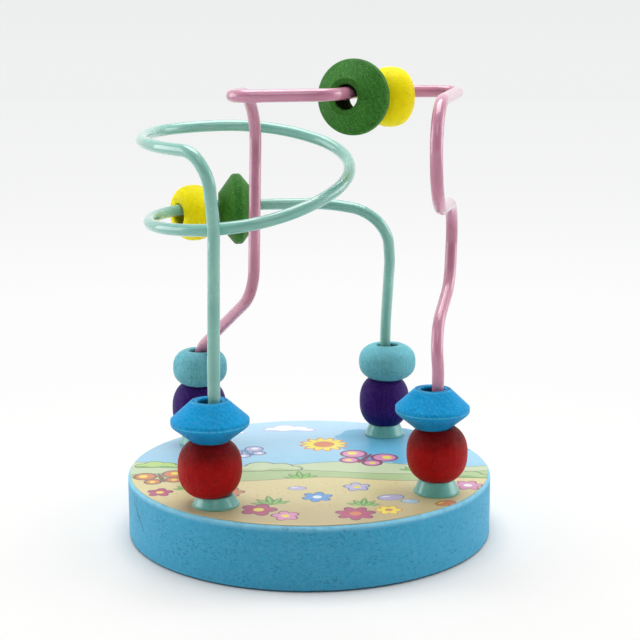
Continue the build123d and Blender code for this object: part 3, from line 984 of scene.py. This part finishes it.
def make_growth_ring_effect():
    """Growth rings along Z with narrow crests, where a turned side cuts across them."""
    given = new_effect("growth_rings", Batch=0.0, Spacing=1.1)
    blank = join_parts(times(given["Batch"], blank_spacing), heart_distance)
    place = vector_maths("ADD", given["Vector"], blank)
    waver = vector_maths("MULTIPLY", place, (1.0, 1.0, 0.45))
    waver = noise(waver, 0.22, detail=3.0, roughness=0.6)
    radius = length_of(flatten(place))
    radius = maths("MULTIPLY_ADD", waver, ring_waver, radius)
    phase = maths("DIVIDE", times(radius, 2 * math.pi), given["Spacing"])
    wave = maths("MULTIPLY_ADD", maths("SINE", phase), 0.5, 0.5)
    return finish_effect(Rings=maths("POWER", wave, 2.0))


def soft_line(value, place, width):
    """1 where a value is at a place, fading to 0 at a width from it."""
    off = size_of(minus(value, place))
    return opposite(soft_step(off, 0.05, width))


def make_lathe_mark_effect():
    """Marks of the lathe: groove and thin edge of the land, turning, lower belt edge and hole."""
    given = new_effect("lathe_marks", Half_Height=5.0, Belt=1.0)
    radius = length_of(flatten(given["Vector"]))
    height = parts(given["Vector"])[2]
    depth = minus(given["Half Height"], size_of(height))
    on_land = opposite(soft_step(depth, 0.15, 0.6))
    in_bore = opposite(soft_step(radius, bead_bore / 2 + 0.05, bead_bore / 2 + 0.35))
    groove = soft_line(radius, groove_radius, groove_width)
    edge = soft_line(radius, bead_land / 2, land_edge_width)
    return finish_effect(
        Groove=times(groove, on_land),
        Edge=times(edge, on_land),
        Turning=noise(join_parts(radius, height), 3.2, detail=3.0, roughness=0.7),
        Belt_Edge=soft_line(plus(height, given["Belt"]), 0.0, belt_edge_width),
        Hole=times(in_bore, soft_step(depth, 0.2, 0.9)))


ring_effect = make_growth_ring_effect()
lathe_effect = make_lathe_mark_effect()


def carried(name, kind="Fac"):
    """Value that a bead's mesh carries under a name."""
    return put("ShaderNodeAttribute", attribute_name=name)[kind]


def make_bead_paint(
        name, paint, deep_and_shade, thin, coarseness, groove_depth, shade_band_height, shade_band_strength):
    """Satin bead paint: pools in pores and grooves, thin on fibres and edges, painted shade and
    highlights.
    """
    material, shader = new_material(name, roughness=0.45, gloss=0.09)
    lathe = carried("lathe", "Vector")
    batch = carried("batch")
    half_height = carried("half_height")
    own_wood = join_parts(0.0, 0.0, times(batch, 31.0))
    place = vector_maths("ADD", lathe, own_wood)
    grain = effect(wood_effect, place, **bead_fibres)
    specks = noise(place, 2.6, roughness=0.7)
    rings = effect(ring_effect, lathe, Batch=batch, Spacing=ring_spacing)["Rings"]
    marks = effect(lathe_effect, lathe, Half_Height=half_height, Belt=carried("belt_edge"))
    height = maths("DIVIDE", parts(lathe)[2], half_height)
    # Painted shade: a dark band at a set height, the shadow of the blue bead on each red ball and
    # shade on the lower side of the other beads
    painted_shade_band = soft_line(height, shade_band_height, 0.75)
    painted_shade_band = times(painted_shade_band, spread(grain["Mottle"], 0.7, 1.0))
    groove = times(marks["Groove"], groove_depth)
    # Paint pooled in pores, the groove and the mottle, and painted shade inside the bore
    pooled_and_bore_shade = strongest((grain["Pores"], 0.62), (groove, 0.7), (marks["Hole"], 0.9),
                       (grain["Mottle"], 0.16))
    # Thin paint on raised fibres and rings; on the land edge and lower belt edge, thin paint with a
    # painted highlight
    bare_and_highlight = strongest((soft_step(specks, 0.54, 0.70), 0.40),
                     (marks["Edge"], 0.08 + 0.20 * groove_depth),
                     (marks["Belt Edge"], 0.45 * groove_depth), (rings, 0.10))
    bare_and_highlight = maths("MINIMUM", times(bare_and_highlight, coarseness), 1.0)
    pooled_and_bore_shade = maths("MINIMUM", times(pooled_and_bore_shade, coarseness), 1.0)
    # Painted shade band, then thin paint with painted highlights, then pooled paint with painted
    # bore shade
    colour = lay(painted_shade_band, paint, deep_and_shade, strength=shade_band_strength)
    colour = lay(bare_and_highlight, colour, thin)
    colour = lay(pooled_and_bore_shade, colour, deep_and_shade)
    # Painted shade: the inside of the bore darkened to near black
    colour = lay(marks["Hole"], colour, bead_bore_shade, strength=0.5)
    roughness = spread(plus(grain["Pores"], bare_and_highlight), 0.42, 0.64)
    roughness = larger(roughness, marks["Hole"])
    relief = pile(grain["Relief"], (rings, 0.35), (specks, 1.1), (marks["Turning"], 0.7),
                  (groove, -1.5))
    finish_surface(shader, colour, roughness, relief, depth=0.10 * coarseness)
    return material


def bead_axis(name, centre):
    """Direction of a bead's hole: up on a post, along a run, or square to a bend's spoke."""
    for joint in frame["joints"]:
        if joint["child"] != name:
            continue
        axis = Vector(joint["axis"])
        if name == "top_green_bead":
            sideways = Vector((0.0, 0.0, 1.0)).cross(axis)
            return Quaternion(sideways, math.radians(-top_green_tilt)) @ axis
        if joint["type"] == "slide":
            return axis
        if name.startswith("loop"):
            along = axis.cross(centre - Vector(joint["pos_m"])).normalized()
            turn = loop_green_turn if name == "loop_green_bead" else 0.0
            return Quaternion(axis, math.radians(turn)) @ along
    return Vector((0.0, 0.0, 1.0))


bead_tree = make_bead_tree()
bead_materials = {
    name: make_bead_paint(f"{name}_bead_satin", **values) for name, values in bead_paints.items()
}
for batch, (bead_node, (form, diameter, height)) in enumerate(bead_sizes.items()):
    paint_name = bead_node.split("_")[-2]
    fullness = ball_fullness if form == "ball" else oblate_fullness
    lengths = {
        "Bore": bead_bore, "Land": bead_land, "Diameter": diameter, "Height": height,
        "Belt": bead_belt, "Belt Softness": bead_belt_softness, "Bore Edge": bead_bore_edge,
        "Land Edge": bead_land_edge, "Lower Belt": bead_belt, "Lower Softness": bead_belt_softness,
    }
    if paint_name == "blue":
        lengths["Lower Belt"] = stacked_cone_lower_belt
        lengths["Lower Softness"] = stacked_cone_lower_softness
    lengths = {label: length * MILLIMETRE for label, length in lengths.items()}
    bead = shape_piece(f"{bead_node}_turned", bpy.data.meshes.new("blank"), bead_tree, {
        **lengths,
        "Fullness": fullness,
        "Land Reach": (1 - (bead_land / diameter) ** fullness) ** (1 / fullness),
        "Cone": float(form == "double_cone"),
        "Batch": float(batch),
        "Profile Points": bead_profile_points,
        "Turned Segments": bead_turned_segments,
        "Finish": bead_materials[paint_name],
    })
    low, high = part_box(bead_node)
    centre = (low + high) / 2
    hole = bead_axis(bead_node, centre).to_track_quat("Z", "Y").to_matrix().to_4x4()
    bead.data.transform(Matrix.Translation(centre) @ hole)
    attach(bead, bead_node)
    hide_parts(bead_node)

# The studio: a pale floor that runs on into a white background, one large soft lamp overhead, one
# on each side and a small one in front. The camera stands in front, a little above, where the
# photograph was taken.
camera_place = Vector((1.249, -337.74, 118.16)) * MILLIMETRE
camera_down = 10.5178
camera_right = 0.27697
camera_roll = -0.10027
camera_lens = 74.57
floor_reach = 6.0
floor_white = (0.850, 0.842, 0.828, 1.0)
background_white = (0.980, 0.982, 0.980, 1.0)
horizon_grey = (0.868, 0.878, 0.873, 1.0)
background_grey = (0.840, 0.856, 0.848, 1.0)
shadow_end = 48.0
background_start = 200.0
whitest_distance = 400.0
toy_middle = Vector((0.0, 0.0, 0.05))
# Each lamp: its place, the side of its square face, and its power
studio_lamps = {
    "overhead_softbox": ((0.0, 0.12, 0.72), 0.50, 4.1),
    "front_softbox": ((0.0, -0.62, 0.62), 0.35, 0.8),
    "left_softbox": ((-0.60, 0.05, 0.20), 0.40, 1.5),
    "right_softbox": ((0.60, 0.05, 0.20), 0.40, 1.5),
}

camera = add_object("camera", bpy.data.cameras.new("camera"))
camera.data.lens = camera_lens
camera.data.clip_start = 0.01
camera.data.clip_end = 100.0
camera.matrix_world = (
    Matrix.Translation(camera_place)
    @ Matrix.Rotation(math.radians(-camera_right), 4, "Z")
    @ Matrix.Rotation(math.radians(90 - camera_down), 4, "X")
    @ Matrix.Rotation(math.radians(camera_roll), 4, "Z")
)
bpy.context.scene.camera = camera


def make_floor_paint():
    """Matt white floor that keeps the toy's shadow and turns into a white background round it."""
    material, shader = new_material("studio_floor", roughness=0.8, gloss=0.1)
    shader.inputs["Base Color"].default_value = floor_white
    distance = length_of(flatten(object_place()))
    far = {"Value": distance, "From Min": shadow_end, "From Max": background_start}
    far = maths("POWER", put("ShaderNodeMapRange", far)[0], 0.55)
    path = put("ShaderNodeLightPath")
    seen = larger(path["Is Glossy Ray"], path["Is Transmission Ray"])
    seen = larger(path["Is Camera Ray"], seen)
    nearness = maths("DIVIDE", whitest_distance, distance)
    nearness = put("ShaderNodeClamp", {0: nearness})[0]
    glow = {"Color": lay(nearness, horizon_grey, background_white), "Strength": 1.0}
    glow = put("ShaderNodeEmission", glow)[0]
    mixed = {0: times(far, seen), 1: shader.outputs[0], 2: glow}
    mixed = put("ShaderNodeMixShader", mixed)[0]
    join(mixed, material.node_tree.nodes["Material Output"].inputs["Surface"])
    return material


floor_mesh = bpy.data.meshes.new("floor")
floor_mesh.from_pydata(
    [(x * floor_reach, y * floor_reach, 0.0) for x, y in ((-1, -1), (1, -1), (1, 1), (-1, 1))],
    [], [(0, 1, 2, 3)])
floor_mesh.materials.append(make_floor_paint())
floor = add_object("floor", floor_mesh)


def backdrop(colour, strength):
    """Shader of a plain glowing backdrop."""
    return put("ShaderNodeBackground", {"Color": colour, "Strength": strength})[0]


def make_backdrop():
    """White walls round the toy, dimmer in front of it. The camera sees a pale grey one behind."""
    world = bpy.data.worlds.new("studio")
    world.use_nodes = True
    bench["tree"] = world.node_tree
    _, depth, height = parts(put("ShaderNodeTexCoord")["Generated"])
    beside = soft_step(depth, -0.9, -0.1)
    behind = lay(soft_step(height, 0.0, 0.075), horizon_grey, background_grey)
    behind = backdrop(behind, 1.0)
    mirrored = backdrop(background_white, spread(beside, 0.10, 1.0))
    walls = backdrop(background_white, spread(beside, 0.10, 0.40))
    path = put("ShaderNodeLightPath")
    light = {0: path["Is Glossy Ray"], 1: walls, 2: mirrored}
    light = put("ShaderNodeMixShader", light)[0]
    light = {0: path["Is Camera Ray"], 1: light, 2: behind}
    light = put("ShaderNodeMixShader", light)[0]
    join(light, world.node_tree.nodes["World Output"].inputs["Surface"])
    return world


bpy.context.scene.world = make_backdrop()
for name, (place, size, power) in studio_lamps.items():
    lamp = bpy.data.lights.new(name, "AREA")
    lamp.shape = "SQUARE"
    lamp.size = size
    lamp.energy = power
    aim = (toy_middle - Vector(place)).to_track_quat("-Z", "Y").to_matrix().to_4x4()
    add_object(name, lamp).matrix_world = Matrix.Translation(place) @ aim
bpy.context.scene.view_settings.view_transform = "Standard"
